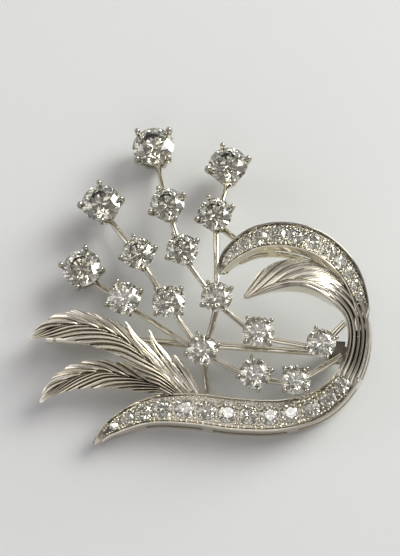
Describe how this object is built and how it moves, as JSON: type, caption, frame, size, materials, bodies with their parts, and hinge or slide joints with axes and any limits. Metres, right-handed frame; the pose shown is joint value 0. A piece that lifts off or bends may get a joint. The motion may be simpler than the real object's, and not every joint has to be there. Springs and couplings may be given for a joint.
{
  "type": "spray brooch",
  "caption": "Spray brooch with claw-set round stones on wire stems, a pave-set ribbon scroll, feather fronds, a hinged pin and a sliding tube catch.",
  "frame": {"origin": "centre of the object's box, on the surface that it lies on", "axes": "+X to the right and +Y up as the brooch is worn and seen from the front, +Z out of its face; it lies on its back"},
  "size_m": [0.0382, 0.0364, 0.0117],
  "materials": {
    "white_gold": "polished, slightly warm white metal",
    "diamond": "cut and polished, clear"
  },
  "bodies": {
    "brooch": {"scroll_band": "white_gold", "feather_fronds": "white_gold", "spray_upper": "white_gold", "spray_lower": "white_gold", "stone_01": "diamond", "stone_02": "diamond", "stone_03": "diamond", "stone_04": "diamond", "stone_05": "diamond", "stone_06": "diamond", "stone_07": "diamond", "stone_08": "diamond", "stone_09": "diamond", "stone_10": "diamond", "stone_11": "diamond", "stone_12": "diamond", "stone_13": "diamond", "stone_14": "diamond", "stone_15": "diamond", "stone_16": "diamond", "pave_band_stones": "diamond", "pave_leaf_stones": "diamond", "hinge_bracket": "white_gold", "catch_tube": "white_gold"},
    "pin": {"pin_stem": "white_gold"},
    "slider": {"catch_slide": "white_gold"}
  },
  "joints": [
    {"name": "pin_hinge", "type": "hinge", "parent": "brooch", "child": "pin", "pos_m": [0.01514, -0.00759, 0.0016], "axis": [-0.0663, -0.9978, 0], "range_deg": [0, 80]},
    {"name": "catch_slide", "type": "slide", "parent": "brooch", "child": "slider", "axis": [-0.9978, 0.0663, 0], "range_m": [0, 0.0042]}
  ]
}
